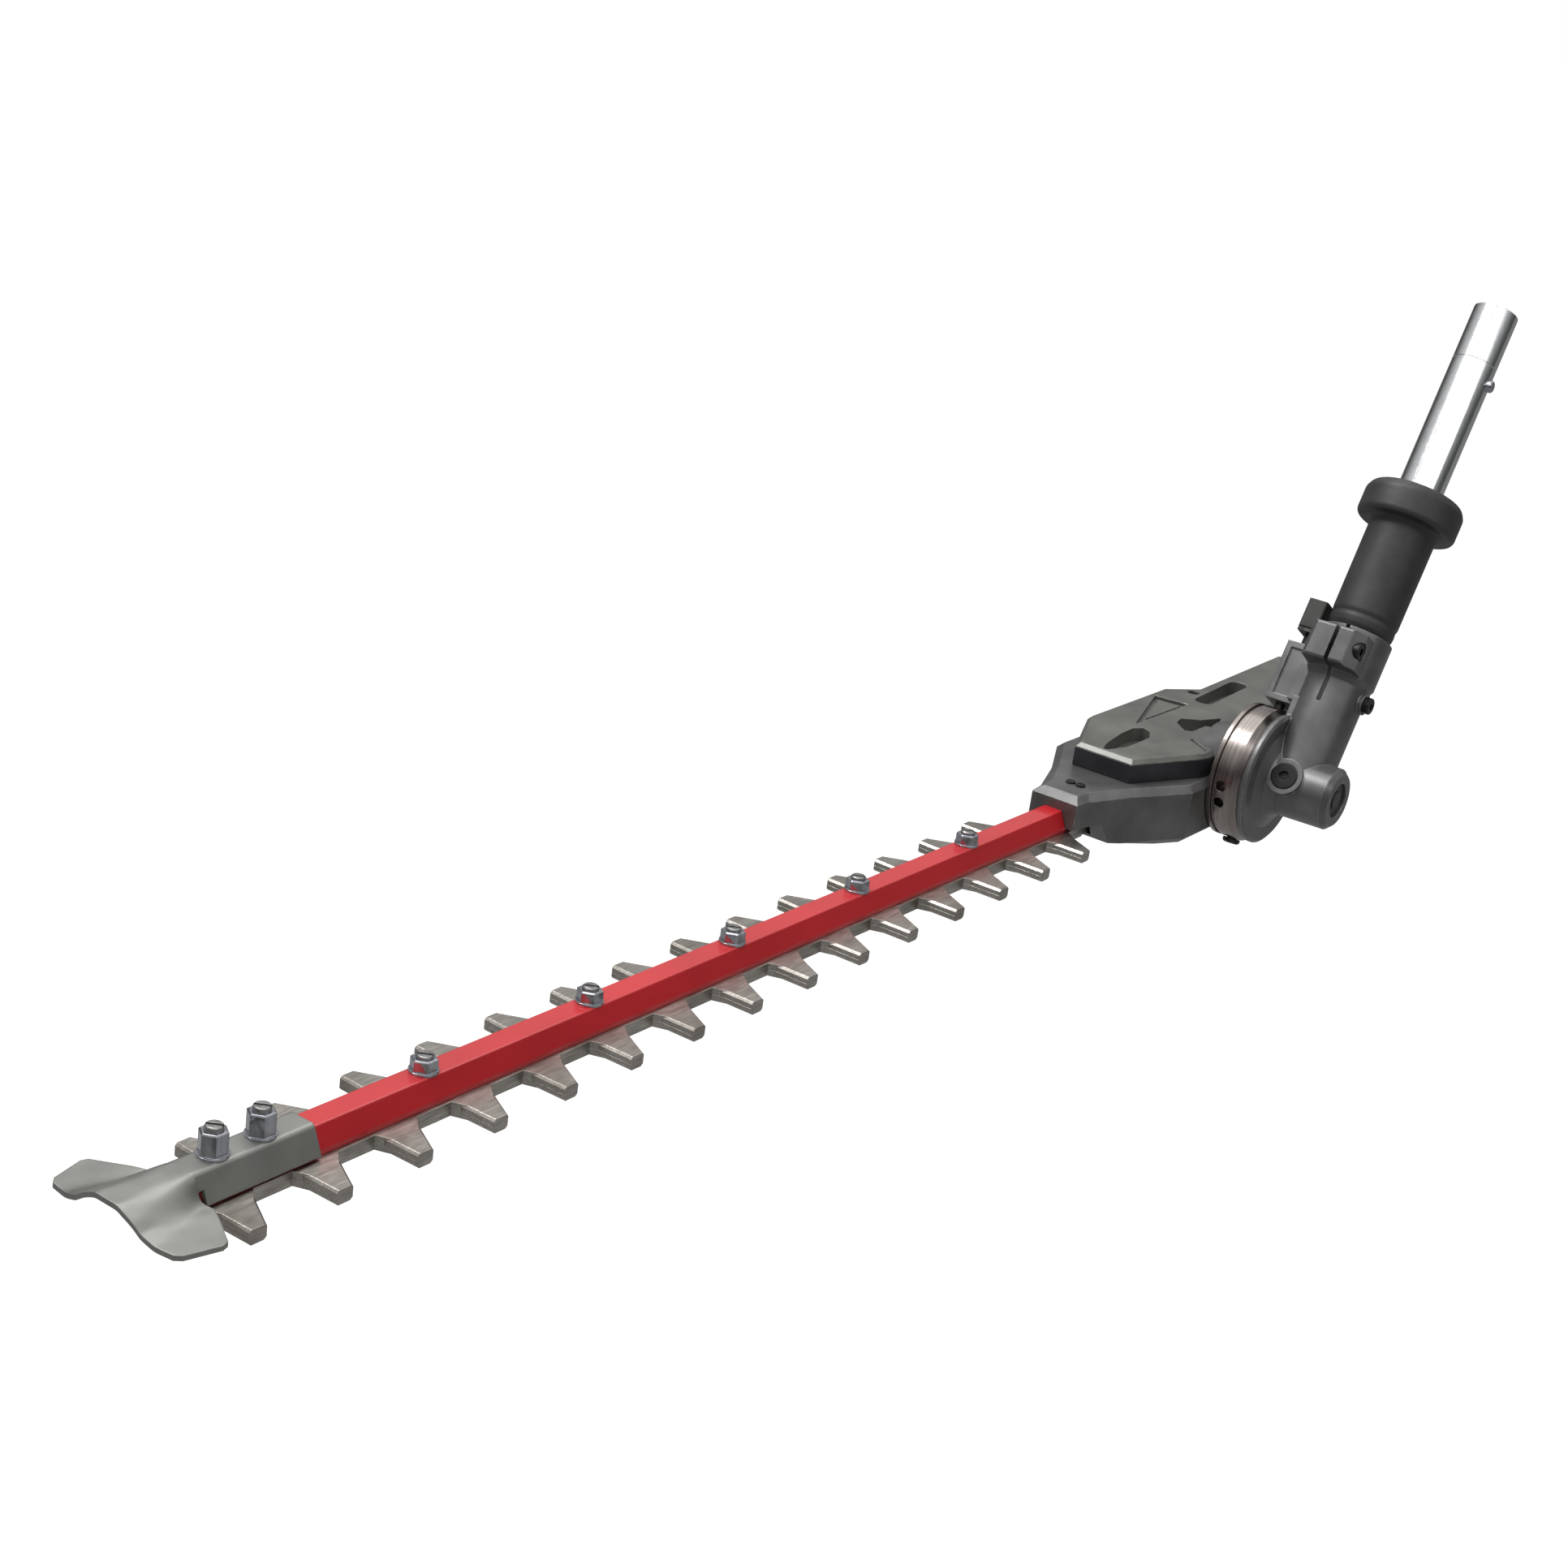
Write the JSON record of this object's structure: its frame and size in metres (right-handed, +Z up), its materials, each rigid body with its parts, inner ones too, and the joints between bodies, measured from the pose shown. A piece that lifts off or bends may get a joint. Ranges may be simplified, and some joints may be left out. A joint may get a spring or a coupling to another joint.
{
  "type": "pole hedge trimmer head",
  "caption": "Articulating hedge trimmer head on a cut-off pole: double reciprocating blades, gearbox on an indexed pivot, clamp arm, rubber sleeve and drive line inside.",
  "frame": {"origin": "centre of the pole tube's cut end, on the tube's axis", "axes": "+X along the cutter from the gearbox to its tip, +Y along the head's pivot axis from the gearbox to the pole, +Z up, square to the blades"},
  "size_m": [0.824, 0.1291, 0.2596],
  "materials": {
    "dark_casting": "satin",
    "cover_grey": "satin",
    "seal_black": "matte",
    "bar_red": "gloss",
    "blade_steel": "satin",
    "guard_plastic": "matte",
    "bright_nut": "polished",
    "bolt_steel": "satin",
    "ring_steel": "satin",
    "black_screw": "satin",
    "tube_aluminium": "polished",
    "sleeve_rubber": "matte",
    "thumb_plastic": "matte",
    "gear_steel": "satin",
    "bearing_steel": "polished",
    "bush_brass": "satin",
    "spring_steel": "satin",
    "dark_steel": "satin"
  },
  "bodies": {
    "pole": {"arm_casting": "dark_casting", "clamp_screw": "black_screw", "side_screw": "black_screw", "grease_plug": "black_screw", "elbow_cap": "seal_black", "cross_bearings": "bearing_steel", "drive_bearing": "bearing_steel", "pivot_clip": "spring_steel", "pole_tube": "tube_aluminium", "grip_sleeve": "sleeve_rubber", "end_bush": "bush_brass", "guide_cap": "bush_brass", "lock_spring": "spring_steel"},
    "coupling_button": {"locating_button": "bright_nut", "button_leaf": "spring_steel"},
    "lock_slider": {"index_pin": "dark_steel", "lock_slide": "dark_steel", "thumb_pad": "thumb_plastic"},
    "drive_train": {"drive_shaft": "bolt_steel", "drive_coupler": "gear_steel", "drive_pinion": "gear_steel"},
    "cross_train": {"cross_shaft": "bolt_steel", "cross_gear": "gear_steel", "cross_pinion": "gear_steel"},
    "head": {"gear_housing": "dark_casting", "gear_cover": "cover_grey", "cover_band": "seal_black", "cover_screws": "black_screw", "nose_screws": "black_screw", "blade_bar": "bar_red", "tip_guard": "guard_plastic", "blade_washers": "bolt_steel", "blade_bolts": "bolt_steel", "blade_nuts": "bright_nut", "tip_bolts": "bolt_steel", "tip_nuts": "bright_nut", "index_ring": "ring_steel", "ring_screws": "black_screw", "stop_button": "dark_steel", "crank_bearings": "bearing_steel"},
    "crank": {"crank_shaft": "gear_steel", "crown_gear": "gear_steel"},
    "upper_cutter": {"upper_blade": "blade_steel"},
    "lower_cutter": {"lower_blade": "blade_steel"}
  },
  "joints": [
    {"name": "head_pivot", "type": "hinge", "parent": "pole", "child": "head", "pos_m": [0.1265, -0.067, -0.2191], "axis": [0, 1, 0], "range_deg": [-135, 135]},
    {"name": "index_slide", "type": "slide", "parent": "pole", "child": "lock_slider", "axis": [-0.5, 0, 0.866], "range_m": [-0.006, 0]},
    {"name": "button_press", "type": "slide", "parent": "pole", "child": "coupling_button", "axis": [0, -1, 0], "range_m": [0, 0.0023], "stiffness_N_per_m": 1500},
    {"name": "drive_shaft_spin", "type": "hinge", "parent": "pole", "child": "drive_train", "pos_m": [0.1265, 0, -0.2191], "axis": [-0.5, 0, 0.866], "continuous": true},
    {"name": "cross_shaft_spin", "type": "hinge", "parent": "pole", "child": "cross_train", "pos_m": [0.1265, 0, -0.2191], "axis": [0, 1, 0], "continuous": true},
    {"name": "crank_spin", "type": "hinge", "parent": "head", "child": "crank", "pos_m": [0.1265, -0.067, -0.2191], "axis": [0, 0, 1], "continuous": true},
    {"name": "upper_blade_slide", "type": "slide", "parent": "head", "child": "upper_cutter", "axis": [1, 0, 0], "range_m": [-0.00875, 0.00875]},
    {"name": "lower_blade_slide", "type": "slide", "parent": "head", "child": "lower_cutter", "axis": [1, 0, 0], "range_m": [-0.00875, 0.00875]}
  ],
  "couplings": [
    {"joint": "cross_shaft_spin", "follows": "drive_shaft_spin", "ratio": -1},
    {"joint": "crank_spin", "follows": "drive_shaft_spin", "ratio": -0.33333},
    {"joint": "lower_blade_slide", "follows": "upper_blade_slide", "ratio": -1}
  ]
}
